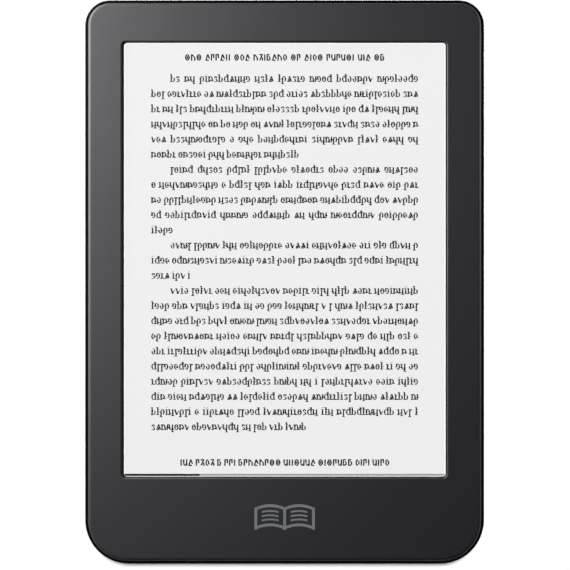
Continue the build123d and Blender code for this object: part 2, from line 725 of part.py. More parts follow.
# middle of each group of capacitors, their pitch and their count across and along the device
CAPACITOR_GROUPS = [
    ((28, -43.5), (2.2, 2.4), (5, 3)),
    ((-36, -60.5), (2.2, 2.4), (5, 3)),
    ((-5, -58.5), (2.4, 2.4), (12, 2)),
]
CAPACITOR_SIZE = (1.0, 0.5)
CAPACITOR_HEIGHT = 0.5
CRYSTAL_SPOTS = [(-23.5, -38), (-24, -28)]
CRYSTAL_SIZE = (2.5, 2.0)
CRYSTAL_CORNER = 0.2
CRYSTAL_HEIGHT = 0.6

with BuildPart() as inductors:
    with BuildSketch(Plane.XY.offset(BOARD_BASE - INDUCTOR_HEIGHT)):
        with Locations(INDUCTOR_SPOTS):
            RectangleRounded(INDUCTOR_SIDE, INDUCTOR_SIDE, INDUCTOR_CORNER)
    extrude(amount=INDUCTOR_HEIGHT)
finish(inductors, "inductors")

with BuildPart() as capacitors:
    with BuildSketch(Plane.XY.offset(BOARD_BASE - CAPACITOR_HEIGHT)):
        for group_spot, group_pitch, group_count in CAPACITOR_GROUPS:
            with Locations(group_spot):
                with GridLocations(*group_pitch, *group_count):
                    Rectangle(*CAPACITOR_SIZE)
    extrude(amount=CAPACITOR_HEIGHT)
finish(capacitors, "capacitors")

with BuildPart() as crystals:
    with BuildSketch(Plane.XY.offset(BOARD_BASE - CRYSTAL_HEIGHT)):
        with Locations(CRYSTAL_SPOTS):
            RectangleRounded(*CRYSTAL_SIZE, CRYSTAL_CORNER)
    extrude(amount=CRYSTAL_HEIGHT)
finish(crystals, "crystals")

# Ribbon connectors on the board's display side: name, middle and width
RIBBON_CONNECTORS = [
    ("display_connector", DISPLAY_RIBBON_X, 23.0),
    ("touch_connector", TOUCH_RIBBON_X, 11.0),
    ("light_connector", LIGHT_RIBBON_X, 8.0),
]
for connector_name, connector_x, connector_width in RIBBON_CONNECTORS:
    with BuildPart() as connector:
        with BuildSketch(Plane.YZ.offset(connector_x)):
            with BuildLine():
                Polyline(
                    (CONNECTOR_FRONT_Y, BOARD_TOP),
                    (CONNECTOR_BACK_Y, BOARD_TOP),
                    (CONNECTOR_BACK_Y, BOARD_TOP + CONNECTOR_BACK_HEIGHT),
                    (CONNECTOR_BACK_Y - CONNECTOR_SLOPE, BOARD_TOP + CONNECTOR_HEIGHT),
                    (CONNECTOR_FRONT_Y, BOARD_TOP + CONNECTOR_HEIGHT),
                    close=True,
                )
            make_face()
        extrude(amount=connector_width / 2, both=True)
        # mouth that the ribbon slides into
        with BuildSketch(Plane.YZ.offset(connector_x)):
            with Locations((CONNECTOR_FRONT_Y, FLEX_PLUG_Z)):
                Rectangle(2 * CONNECTOR_SLOT_DEPTH, CONNECTOR_SLOT)
        extrude(amount=connector_width / 2 - CONNECTOR_CHEEK, both=True, mode=Mode.SUBTRACT)
    finish(connector, connector_name)

# wakes the device when a cover's magnet is lifted off it
HALL_SPOT = (45, -42)
HALL_SIZE = (1.6, 2.9)
HALL_HEIGHT = 1.0

with BuildPart() as hall_sensor:
    with BuildSketch(Plane.XY.offset(BOARD_TOP)):
        with Locations(HALL_SPOT):
            Rectangle(*HALL_SIZE)
    extrude(amount=HALL_HEIGHT)
finish(hall_sensor, "hall_sensor")

# ---------------------------------------------------------------- radio antenna

CABLE_RADIUS = 0.4
CABLE_Z = 5.0
CABLE_START = (-38.5, -24.0)
CABLE_TURNS = [(-38.5, -17), (-45, -9.5)]
CABLE_END = (-45, -2)
CABLE_BEND = 3.0
ANTENNA_THICK = 0.1
ANTENNA_SPOT = (-45, 3)
ANTENNA_SIZE = (8, 24)
ANTENNA_CORNER = 1.0
ANTENNA_CUT_SPOTS = [(-43, 7), (-47, 0)]
ANTENNA_CUT_SIZE = (2.4, 12)
COAX_CONNECTOR_SIDE = 2.6
COAX_CONNECTOR_CORNER = 0.5
COAX_CONNECTOR_HEIGHT = 1.0

with BuildPart() as antenna:
    with BuildSketch(Plane.XY.offset(PLATE_BASE - ANTENNA_THICK)):
        with Locations(ANTENNA_SPOT):
            RectangleRounded(*ANTENNA_SIZE, ANTENNA_CORNER)
        with Locations(ANTENNA_CUT_SPOTS):
            Rectangle(*ANTENNA_CUT_SIZE, mode=Mode.SUBTRACT)
    extrude(amount=ANTENNA_THICK)
finish(antenna, "antenna")

with BuildPart() as antenna_connector:
    with BuildSketch(Plane.XY.offset(BOARD_TOP)):
        with Locations((CABLE_START[0], CABLE_START[1] - COAX_CONNECTOR_SIDE / 2)):
            RectangleRounded(COAX_CONNECTOR_SIDE, COAX_CONNECTOR_SIDE, COAX_CONNECTOR_CORNER)
    extrude(amount=COAX_CONNECTOR_HEIGHT)
finish(antenna_connector, "antenna_connector")

with BuildPart() as antenna_cable:
    with BuildLine(Plane.XY.offset(CABLE_Z)) as cable_route:
        FilletPolyline(CABLE_START, *CABLE_TURNS, CABLE_END, radius=CABLE_BEND)
    with BuildSketch(Plane.XZ.offset(-CABLE_START[1])):
        with Locations((CABLE_START[0], CABLE_Z)):
            Circle(CABLE_RADIUS)
    sweep(path=cable_route.wires()[0])
finish(antenna_cable, "antenna_cable")

# ---------------------------------------------------------------- USB-C port

USB_INNER_WIDTH = USB_WIDTH - 2 * USB_SHEET
USB_INNER_HEIGHT = USB_HEIGHT - 2 * USB_SHEET
TONGUE_WIDTH = 6.69
TONGUE_THICK = 0.70
TONGUE_CORNER = 0.15
TONGUE_TIP_Y = USB_MOUTH_Y + 0.7
TONGUE_ROOT_Y = USB_BACK_Y - 2.0
CONTACT_COUNT = 12
CONTACT_PITCH = 0.5
CONTACT_THICK = 0.05
CONTACT_WIDTH = 0.25
CONTACT_TIP_GAP = 0.4
USB_SEAL_Y = -77.0
USB_SEAL_THICK = 0.9
USB_SEAL_EXTRA = (1.8, 0.8)

with BuildPart() as usb_shell:
    with BuildSketch(Plane.XZ.offset(-USB_MOUTH_Y)):
        with Locations((0, USB_Z)):
            SlotOverall(USB_WIDTH, USB_HEIGHT)
            SlotOverall(USB_INNER_WIDTH, USB_INNER_HEIGHT, mode=Mode.SUBTRACT)
    extrude(amount=-USB_DEPTH)
finish(usb_shell, "usb_shell")

with BuildPart() as usb_tongue:
    with BuildSketch(Plane.XZ.offset(-USB_BACK_Y)):
        with Locations((0, USB_Z)):
            SlotOverall(USB_INNER_WIDTH, USB_INNER_HEIGHT)
    extrude(amount=USB_BACK_Y - TONGUE_ROOT_Y)
    with BuildSketch(Plane.XZ.offset(-TONGUE_ROOT_Y)):
        with Locations((0, USB_Z)):
            RectangleRounded(TONGUE_WIDTH, TONGUE_THICK, TONGUE_CORNER)
    extrude(amount=TONGUE_ROOT_Y - TONGUE_TIP_Y)
finish(usb_tongue, "usb_tongue")

with BuildPart() as usb_contacts:
    with BuildSketch(Plane.XZ.offset(-TONGUE_ROOT_Y)):
        for face in (-1, 1):
            with Locations((0, USB_Z + face * (TONGUE_THICK + CONTACT_THICK) / 2)):
                with GridLocations(CONTACT_PITCH, 1, CONTACT_COUNT, 1):
                    Rectangle(CONTACT_WIDTH, CONTACT_THICK)
    extrude(amount=TONGUE_ROOT_Y - TONGUE_TIP_Y - CONTACT_TIP_GAP)
finish(usb_contacts, "usb_contacts")

with BuildPart() as usb_seal:
    with BuildSketch(Plane.XZ.offset(-USB_SEAL_Y)):
        with Locations((0, USB_Z)):
            SlotOverall(USB_WIDTH + USB_SEAL_EXTRA[0], USB_HEIGHT + USB_SEAL_EXTRA[1])
            SlotOverall(USB_WIDTH, USB_HEIGHT, mode=Mode.SUBTRACT)
    extrude(amount=-USB_SEAL_THICK)
finish(usb_seal, "usb_seal")

# ---------------------------------------------------------------- power button and its switch

PLUNGER_RADIUS = 0.85
PLUNGER_FLANGE = 1.3
PLUNGER_FLANGE_Z = (2.85, 3.05)
SWITCH_CAVITY = 1.75
SWITCH_LID = 0.2
SWITCH_BOTTOM_Z = 3.5
DOME_SHEET = 0.06
DOME_RIM = 1.5
DOME_RIM_Z = SWITCH_BOTTOM_Z - DOME_SHEET
DOME_SHOULDER = 0.8
DOME_SHOULDER_Z = 3.2
DOME_APEX_Z = 3.1

with BuildPart() as power_button:
    with BuildSketch(Plane.XY.offset(BUTTON_FACE_Z)):
        with Locations(BUTTON_SPOT):
            Circle(BUTTON_RADIUS)
    extrude(amount=FLOOR - BUTTON_FACE_Z)
    fillet(power_button.edges().group_by(Axis.Z)[0], BUTTON_FACE_EDGE)
    # flange that keeps the button in the cover, and the stem that works the switch
    with BuildSketch(Plane.XY.offset(FLOOR)):
        with Locations(BUTTON_SPOT):
            Circle(BUTTON_FLANGE)
    extrude(amount=BUTTON_FLANGE_THICK)
    with BuildSketch(Plane.XY.offset(FLOOR)):
        with Locations(BUTTON_SPOT):
            Circle(BUTTON_STEM)
    extrude(amount=SWITCH_TOUCH_Z - FLOOR)
    # shallow fingertip hollow
    with Locations((*BUTTON_SPOT, BUTTON_FACE_Z + BUTTON_HOLLOW_DEPTH - BUTTON_HOLLOW_RADIUS)):
        Sphere(BUTTON_HOLLOW_RADIUS, mode=Mode.SUBTRACT)
finish(power_button, "power_button")

with BuildPart() as button_seal:
    with BuildSketch(Plane.XY.offset(BUTTON_SEAT_Z)):
        with Locations(BUTTON_SPOT):
            Circle(BUTTON_FLANGE + BUTTON_SEAT_GAP - SEAL_GAP)
            Circle(BUTTON_RADIUS + SEAL_GAP, mode=Mode.SUBTRACT)
    extrude(amount=FLOOR - BUTTON_SEAT_Z)
finish(button_seal, "button_seal")

with BuildPart() as switch_body:
    with BuildSketch(Plane.XY.offset(SWITCH_BASE_Z)):
        with Locations(BUTTON_SPOT):
            RectangleRounded(2 * SWITCH_HALF, 2 * SWITCH_HALF, SWITCH_CORNER)
            Circle(PLUNGER_RADIUS + PLUNGER_GAP, mode=Mode.SUBTRACT)
    extrude(amount=BOARD_BASE - SWITCH_BASE_Z)
    with BuildSketch(Plane.XY.offset(SWITCH_BASE_Z + SWITCH_LID)):
        with Locations(BUTTON_SPOT):
            Circle(SWITCH_CAVITY)
    extrude(amount=SWITCH_BOTTOM_Z - SWITCH_BASE_Z - SWITCH_LID, mode=Mode.SUBTRACT)
    with BuildSketch(Plane.XY.offset(SWITCH_BOTTOM_Z)):
        with Locations(BUTTON_SPOT):
            Circle(SWITCH_CAVITY)
    extrude(amount=BOARD_BASE - SWITCH_BOTTOM_Z)
finish(switch_body, "switch_body")

with BuildPart() as switch_plunger:
    with BuildSketch(Plane.XY.offset(SWITCH_TOUCH_Z)):
        with Locations(BUTTON_SPOT):
            Circle(PLUNGER_RADIUS)
    extrude(amount=PLUNGER_FLANGE_Z[0] - SWITCH_TOUCH_Z)
    with BuildSketch(Plane.XY.offset(PLUNGER_FLANGE_Z[0])):
        with Locations(BUTTON_SPOT):
            Circle(PLUNGER_FLANGE)
    extrude(amount=PLUNGER_FLANGE_Z[1] - PLUNGER_FLANGE_Z[0])
finish(switch_plunger, "switch_plunger")

with BuildPart() as switch_dome:
    # half the dome's section, turned about the switch's axis
    with BuildSketch(Plane(origin=(*BUTTON_SPOT, 0), x_dir=(1, 0, 0), z_dir=(0, -1, 0))):
        with BuildLine():
            Polyline(
                (0, DOME_APEX_Z),
                (DOME_SHOULDER, DOME_SHOULDER_Z),
                (DOME_RIM, DOME_RIM_Z),
                (DOME_RIM, DOME_RIM_Z + DOME_SHEET),
                (DOME_SHOULDER, DOME_SHOULDER_Z + DOME_SHEET),
                (0, DOME_APEX_Z + DOME_SHEET),
                close=True,
            )
        make_face()
    revolve(axis=Axis((*BUTTON_SPOT, 0), (0, 0, 1)))
finish(switch_dome, "switch_dome")

# ---------------------------------------------------------------- status light

with BuildPart() as status_led:
    with BuildSketch(Plane.XY.offset(BOARD_BASE - STATUS_LED_HEIGHT)):
        with Locations(LIGHT_SPOT):
            Rectangle(*STATUS_LED_SIZE)
    extrude(amount=STATUS_LED_HEIGHT)
finish(status_led, "status_led")

with BuildPart() as light_pipe:
    with BuildSketch(Plane.XY.offset(PANEL_DEPTH)):
        with Locations(LIGHT_SPOT):
            Circle(LIGHT_RADIUS)
    extrude(amount=LIGHT_PIPE_TOP_Z - PANEL_DEPTH)
    with BuildSketch(Plane.XY.offset(FLOOR)):
        with Locations(LIGHT_SPOT):
            Circle(LIGHT_PIPE_FLANGE)
    extrude(amount=LIGHT_PIPE_FLANGE_THICK)
finish(light_pipe, "light_pipe")
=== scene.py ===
import json
import math
import random

import bmesh
import bpy
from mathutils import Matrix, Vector


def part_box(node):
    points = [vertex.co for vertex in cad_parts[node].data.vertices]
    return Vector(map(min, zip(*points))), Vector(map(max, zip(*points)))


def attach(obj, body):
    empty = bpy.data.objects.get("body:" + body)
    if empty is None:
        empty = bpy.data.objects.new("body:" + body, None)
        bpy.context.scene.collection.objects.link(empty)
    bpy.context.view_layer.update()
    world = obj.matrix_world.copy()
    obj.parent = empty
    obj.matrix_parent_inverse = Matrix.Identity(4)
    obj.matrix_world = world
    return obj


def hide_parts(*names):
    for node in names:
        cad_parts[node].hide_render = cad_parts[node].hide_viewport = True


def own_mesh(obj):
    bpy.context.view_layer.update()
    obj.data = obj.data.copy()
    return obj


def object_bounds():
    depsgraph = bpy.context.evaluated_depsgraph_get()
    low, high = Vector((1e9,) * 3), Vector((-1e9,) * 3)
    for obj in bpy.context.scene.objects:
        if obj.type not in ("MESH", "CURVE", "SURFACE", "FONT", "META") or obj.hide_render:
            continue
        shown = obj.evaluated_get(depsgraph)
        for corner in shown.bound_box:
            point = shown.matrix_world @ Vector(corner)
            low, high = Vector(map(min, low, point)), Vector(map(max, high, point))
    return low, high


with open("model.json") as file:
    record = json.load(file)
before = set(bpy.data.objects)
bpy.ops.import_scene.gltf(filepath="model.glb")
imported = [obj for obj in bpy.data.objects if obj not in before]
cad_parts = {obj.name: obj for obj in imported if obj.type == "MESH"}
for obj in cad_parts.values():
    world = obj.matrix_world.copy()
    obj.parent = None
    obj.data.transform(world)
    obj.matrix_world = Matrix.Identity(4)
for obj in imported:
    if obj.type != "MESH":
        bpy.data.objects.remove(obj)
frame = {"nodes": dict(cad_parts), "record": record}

# E-reader lying on its back. Metres, in the CAD model's frame: +X to the right seen
# from the front, +Y towards the top of the device, +Z out of the screen.

random.seed(6)
MM = 0.001
cad_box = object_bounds()
nodes = frame["nodes"]

# ---------------------------------------------------------------- places

FACE_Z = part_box("front_frame")[1].z
FILM_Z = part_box("touch_film")[1].z
BUTTON = (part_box("power_button")[0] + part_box("power_button")[1]) / 2
PIPE = (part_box("light_pipe")[0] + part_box("light_pipe")[1]) / 2

# The visible page, inside the black mask
PAGE_X = 0.06 * MM
PAGE_Y = 6.25 * MM
PAGE_WIDTH = 90.6 * MM
PAGE_HEIGHT = 122.24 * MM
PAGE_CORNER = 0.9 * MM
PAGE_LEFT = PAGE_X - PAGE_WIDTH / 2
PAGE_RIGHT = PAGE_X + PAGE_WIDTH / 2
PAGE_TOP = PAGE_Y + PAGE_HEIGHT / 2
PAGE_BOTTOM = PAGE_Y - PAGE_HEIGHT / 2

# Printed matter stands this proud of what it is printed on, and reaches this far in. A stroke's
# lift is counted in steps of INK_STEP, to keep the tops of crossing strokes apart.
INK_PROUD = 0.012 * MM
INK_SUNK = 0.010 * MM
INK_STEP = 0.0008 * MM


# ---------------------------------------------------------------- meshes


class Strokes:
    """Flat closed strokes gathered into one mesh."""

    def __init__(self, base_z):
        self.low = base_z - INK_SUNK
        self.high = base_z + INK_PROUD
        self.points = []
        self.faces = []

    def band(self, left, right, closed=False, lift=0):
        """A closed prism between two lines of as many points, its top raised by lift steps."""
        count = len(left)
        start = len(self.points)
        for z in (self.low, self.high + lift * INK_STEP):
            self.points += [(x, y, z) for x, y in left + right]
        left_low, right_low, left_high, right_high = (
            [start + k * count + i for i in range(count)] for k in range(4)
        )
        for i in range(count if closed else count - 1):
            j = (i + 1) % count
            self.faces += [
                (left_high[i], left_high[j], right_high[j], right_high[i]),
                (left_low[i], right_low[i], right_low[j], left_low[j]),
                (left_low[i], left_low[j], left_high[j], left_high[i]),
                (right_low[i], right_high[i], right_high[j], right_low[j]),
            ]
        if not closed:
            for i in (0, count - 1):
                self.faces.append((left_low[i], left_high[i], right_high[i], right_low[i]))

    def box(self, x0, x1, y0, y1, lift=0):
        """A flat rectangle."""
        self.band([(x0, y0), (x0, y1)], [(x1, y0), (x1, y1)], lift=lift)

    def finish(self, name, material):
        """Makes the mesh, riding on the device's body."""
        make_piece(name, self.points, self.faces, material)


def make_piece(name, points, faces, material, body="root", smooth=False):
    """A mesh object of closed islands, riding on a body."""
    mesh = bpy.data.meshes.new(name)
    mesh.from_pydata(points, [], faces)
    shell = bmesh.new()
    shell.from_mesh(mesh)
    bmesh.ops.recalc_face_normals(shell, faces=shell.faces)
    shell.to_mesh(mesh)
    shell.free()
    for polygon in mesh.polygons:
        polygon.use_smooth = smooth
    piece = bpy.data.objects.new(name, mesh)
    bpy.context.scene.collection.objects.link(piece)
    piece.data.materials.append(materials[material])
    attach(piece, body)
    return piece


# ---------------------------------------------------------------- placeholder writing

# An invented script: signs made of stems, arcs, bars and slants, in units of their own height.
# Each sign starts with its width.
# stem: x, low y, high y. arc: middle x and y, two radii, first and last angle in degrees.
# bar: left x, right x, y. slant: x and y where it starts, x and y where it ends.
PAGE_SIGNS = [
    (0.94, ("stem", 0.18, 0, 1), ("arc", 0.46, 0.6, 0.36, 0.4, 0, 175),
     ("stem", 0.74, 0.14, 0.6), ("bar", 0.3, 0.62, 0.3)),
    (0.86, ("arc", 0.43, 0.5, 0.38, 0.52, 0, 360), ("bar", 0.22, 0.64, 0.62)),
    (0.60, ("stem", 0.26, 0, 1.36), ("bar", 0.26, 0.58, 0.52), ("bar", 0.26, 0.5, 0.98)),
    (0.84, ("arc", 0.42, 0.5, 0.36, 0.52, -140, 130), ("stem", 0.16, 0.4, 1)),
    (0.96, ("stem", 0.18, 0.3, 1), ("arc", 0.46, 0.4, 0.36, 0.42, 180, 360),
     ("stem", 0.74, -0.38, 1.0)),
    (0.62, ("stem", 0.28, -0.38, 1), ("arc", 0.46, 0.74, 0.26, 0.28, 10, 170)),
    (0.96, ("arc", 0.42, 0.5, 0.36, 0.52, 40, 300), ("stem", 0.76, 0, 1.36), ("bar", 0.5, 0.94, 1.06)),
    (0.88, ("slant", 0.14, 1, 0.46, 0), ("slant", 0.46, 0, 0.78, 0.74), ("bar", 0.3, 0.64, 0.36)),
    (0.80, ("arc", 0.4, 0.74, 0.3, 0.28, -20, 200), ("arc", 0.42, 0.26, 0.32, 0.28, -100, 120),
     ("bar", 0.1, 0.5, 0.04)),
    (1.26, ("stem", 0.18, 0, 1), ("arc", 0.43, 0.6, 0.33, 0.42, 0, 170), ("stem", 0.68, 0, 0.6),
     ("arc", 0.94, 0.4, 0.32, 0.42, 190, 360), ("stem", 1.12, 0.4, 1)),
    (0.58, ("stem", 0.28, 0, 1), ("slant", 0.14, 1.16, 0.44, 1.36)),
    (0.90, ("stem", 0.2, -0.38, 0.6), ("arc", 0.46, 0.5, 0.38, 0.52, -70, 180)),
    (0.84, ("arc", 0.4, 0.5, 0.36, 0.52, 55, 300), ("stem", 0.6, 0.26, 0.74)),
    (0.94, ("slant", 0.14, 0, 0.5, 1), ("slant", 0.5, 1, 0.82, 0.1), ("stem", 0.46, 0, 0.5)),
    (0.64, ("stem", 0.24, 0, 1), ("arc", 0.46, 0.2, 0.26, 0.24, 170, 350), ("bar", 0.24, 0.5, 0.66)),
    (0.92, ("stem", 0.2, 0, 1.36), ("arc", 0.48, 0.42, 0.36, 0.44, -100, 60), ("bar", 0.2, 0.46, 0.84)),
    (0.86, ("arc", 0.42, 0.5, 0.36, 0.52, 170, 480), ("bar", 0.42, 0.76, 0.5)),
    (0.96, ("stem", 0.18, 0, 1), ("stem", 0.74, -0.2, 1), ("bar", 0.2, 0.72, 0.3)),
]
TITLE_SIGNS = [
    (0.66, ("stem", 0.12, 0, 1), ("bar", 0.12, 0.54, 0.94), ("stem", 0.48, 0.4, 1)),
    (0.88, ("arc", 0.42, 0.5, 0.38, 0.52, 0, 360), ("stem", 0.42, 0.3, 0.7)),
    (0.76, ("stem", 0.12, 0, 1), ("arc", 0.34, 0.36, 0.32, 0.38, -120, 90), ("bar", 0.12, 0.5, 0.94)),
    (0.80, ("slant", 0.12, 0, 0.4, 1), ("slant", 0.4, 1, 0.68, 0.3), ("bar", 0.2, 0.6, 0.06)),
    (0.36, ("stem", 0.16, 0, 1)),
    (0.74, ("stem", 0.12, 0.4, 1), ("arc", 0.36, 0.36, 0.3, 0.38, 180, 360), ("stem", 0.6, 0, 1)),
    (0.72, ("arc", 0.36, 0.5, 0.32, 0.5, 60, 300), ("stem", 0.56, 0.2, 0.8)),
    (0.78, ("stem", 0.12, 0, 1), ("slant", 0.14, 1, 0.6, 0.5), ("stem", 0.62, 0, 0.55)),
    (0.70, ("bar", 0.06, 0.62, 0.94), ("slant", 0.54, 0.94, 0.16, 0.06), ("stem", 0.56, 0, 0.5)),
]
WORD_LENGTHS = [1, 2, 2, 3, 3, 3, 4, 4, 5, 5, 6, 7, 7, 8, 9, 10, 11]
# A line is full once this many words were too long for what was left of it
WORD_TRIES = 4
ARC_STEPS_PER_TURN = 20
ARC_STEPS_LEAST = 4
# Half a slant's width across, as a share of its stroke's width
SLANT_HALF = 0.55
SERIF_LIFT = 3


class Hand:
    """How signs are drawn. Stroke widths, serif, spacing and gap are shares of the size."""

    def __init__(self, signs, size, thick, thin, serif, spacing, gap):
        self.signs = signs
        self.size = size
        self.thick = thick
        self.thin = thin
        self.serif = serif
        self.spacing = spacing
        self.gap = gap

    def word(self):
        """A word of random signs."""
        return [random.choice(self.signs) for _ in range(random.choice(WORD_LENGTHS))]

    def width(self, word):
        """A word's width in metres."""
        return sum(sign[0] + self.spacing for sign in word) * self.size - self.spacing * self.size

    def draw(self, ink, word, x, y):
        """Draws a word from x along the base line y."""
        for sign in word:
            for order, stroke in enumerate(sign[1:]):
                self.stroke(ink, x, y, stroke, order)
            x += (sign[0] + self.spacing) * self.size

    def stroke(self, ink, x, y, stroke, order):
        """Draws one stroke of a sign as a closed band."""
        kind, *values = stroke

        def place(points):
            return [(x + u * self.size, y + v * self.size) for u, v in points]

        def band(left, right, closed=False, lift=order):
            ink.band(place(left), place(right), closed, lift)

        if kind == "stem":
            middle, low, high = values
            half = self.thick / 2
            band(
                [(middle - half, low), (middle - half, high)],
                [(middle + half, low), (middle + half, high)],
            )
            if self.serif:
                reach = half + self.serif
                for end in (low, high - self.thin):
                    top = end + self.thin
                    to_left = end == low or high > 1 or order == 0
                    left = middle - (reach if to_left else half)
                    right = middle + (reach if end == low else half)
                    band([(left, end), (left, top)], [(right, end), (right, top)], lift=order + SERIF_LIFT)
        elif kind == "bar":
            low, high, level = values
            half = self.thin / 2
            band(
                [(low, level - half), (high, level - half)],
                [(low, level + half), (high, level + half)],
            )
        elif kind == "slant":
            u0, v0, u1, v1 = values
            half = (self.thick if v0 > v1 else self.thin) * SLANT_HALF
            band([(u0 - half, v0), (u1 - half, v1)], [(u0 + half, v0), (u1 + half, v1)])
        elif kind == "arc":
            u, v, wide, tall, first, last = values
            closed = last - first >= 360
            steps = max(ARC_STEPS_LEAST, round(ARC_STEPS_PER_TURN * (last - first) / 360))
            count = steps if closed else steps + 1
            turns = [math.radians(first + (last - first) * i / steps) for i in range(count)]

            def oval(wide, tall):
                return [(u + wide * math.cos(a), v + tall * math.sin(a)) for a in turns]

            band(oval(wide, tall), oval(wide - self.thick, tall - self.thin), closed)

    def line(self, ink, left, right, y, justified=True):
        """Fills a line with words, spread to both margins, or set from the left."""
        room = right - left
        gap = self.gap * self.size
        words = []
        used = 0
        tries = 0
        while tries < WORD_TRIES:
            word = self.word()
            extra = self.width(word) + (gap if words else 0)
            if used + extra > room:
                tries += 1
                continue
            words.append(word)
            used += extra
        if justified and len(words) > 1:
            gap = (room - sum(self.width(word) for word in words)) / (len(words) - 1)
        x = left
        for word in words:
            self.draw(ink, word, x, y)
            x += self.width(word) + gap


# ---------------------------------------------------------------- the page

TEXT_LEFT = PAGE_LEFT + 7.6 * MM
TEXT_RIGHT = PAGE_RIGHT - 7.7 * MM
FIRST_LINE = PAGE_TOP - 11.0 * MM
LINE_PITCH = 4.265 * MM
INDENT = 5.4 * MM
SIGN_HEIGHT = 1.6 * MM
TITLE_HEIGHT = 1.8 * MM
HEADER_WIDTH = 56.4 * MM
FOOTER_WIDTH = 59.0 * MM
HEADER_Y = PAGE_TOP - 5.0 * MM
FOOTER_Y = PAGE_BOTTOM + 3.1 * MM
# Each paragraph's number of lines, and how far its last line reaches
PARAGRAPHS = [(6, 0.58), (5, 0.10), (3, 0.15), (10, 0.63)]
BORDER = 0.3 * MM
# The progress bar's edges above the page's lower edge, how much lower its read part reaches, and
# that part's share of the page's width
BAR_LOW = 0.36 * MM
BAR_HIGH = 0.84 * MM
BAR_DROP = 0.12 * MM
BAR_SHARE = 0.235
STRIP_GAP = BORDER / 8

body_hand = Hand(
    PAGE_SIGNS, SIGN_HEIGHT, thick=0.25, thin=0.13, serif=0.13, spacing=0.02, gap=0.36
)
title_hand = Hand(
    TITLE_SIGNS, TITLE_HEIGHT, thick=0.225, thin=0.2, serif=0, spacing=0.07, gap=0.3
)


def make_page():
    """Placeholder writing in four paragraphs, a header and a footer."""
    ink = Strokes(FILM_Z)
    y = FIRST_LINE
    for count, share in PARAGRAPHS:
        for number in range(count):
            left = TEXT_LEFT + (INDENT if number == 0 else 0)
            if number < count - 1:
                body_hand.line(ink, left, TEXT_RIGHT, y)
            else:
                end = TEXT_LEFT + share * (TEXT_RIGHT - TEXT_LEFT)
                body_hand.line(ink, left, end, y, justified=False)
            y -= LINE_PITCH
    for y, width in ((HEADER_Y, HEADER_WIDTH), (FOOTER_Y, FOOTER_WIDTH)):
        title_hand.line(ink, PAGE_X - width / 2, PAGE_X + width / 2, y)
    ink.finish("page_print", "page_ink")


def make_page_edges():
    """The panel's white border, the two parts of the progress bar and the strip below it."""
    border = Strokes(FILM_Z)
    outer = rounded_box(PAGE_X, PAGE_Y, PAGE_WIDTH, PAGE_HEIGHT, PAGE_CORNER)
    inner = rounded_box(
        PAGE_X, PAGE_Y, PAGE_WIDTH - 2 * BORDER, PAGE_HEIGHT - 2 * BORDER, PAGE_CORNER - BORDER
    )
    border.band(outer, inner, closed=True)
    border.finish("page_border", "page_border")
    low = PAGE_BOTTOM + BAR_LOW
    high = PAGE_BOTTOM + BAR_HIGH
    split = PAGE_LEFT + BAR_SHARE * PAGE_WIDTH
    inside = PAGE_RIGHT - BORDER
    boxes = (
        ("progress_done", "page_ink", PAGE_LEFT + BORDER / 2, split, low - BAR_DROP, high, 6),
        ("progress_left", "page_grey", split, inside, low, high, 2),
        ("page_strip", "page_pale", PAGE_LEFT + BORDER, inside, PAGE_BOTTOM + STRIP_GAP, low, 4),
    )
    for name, material, x0, x1, y0, y1, lift in boxes:
        box = Strokes(FILM_Z)
        box.box(x0, x1, y0, y1, lift)
        box.finish(name, material)


def rounded_box(x, y, width, height, radius, steps=6):
    """The points of a rounded rectangle, anticlockwise."""
    points = []
    for turn, side_x, side_y in ((0, 1, 1), (90, -1, 1), (180, -1, -1), (270, 1, -1)):
        corner_x = x + side_x * (width / 2 - radius)
        corner_y = y + side_y * (height / 2 - radius)
        for i in range(steps + 1):
            angle = math.radians(turn + 90 * i / steps)
            points.append((corner_x + radius * math.cos(angle), corner_y + radius * math.sin(angle)))
    return points


# ---------------------------------------------------------------- open-book mark on the bezel

MARK_Y = -66.3 * MM
MARK_HALF = 8.1 * MM
MARK_LOW = -2.9 * MM
MARK_HIGH = 2.5 * MM
MARK_BOW = 0.95 * MM
MARK_LINE = 0.8 * MM
MARK_BOW_POWER = 0.8
MARK_STEPS = 14
MARK_WRITING = (0.21, 0.79)
MARK_WRITING_LEVELS = (0.28, 0.5, 0.72)
MARK_WRITING_LINE = 0.5 * MM
MARK_SPINE_BELOW = 0.5 * MM
MARK_SPINE_ABOVE = 0.3 * MM


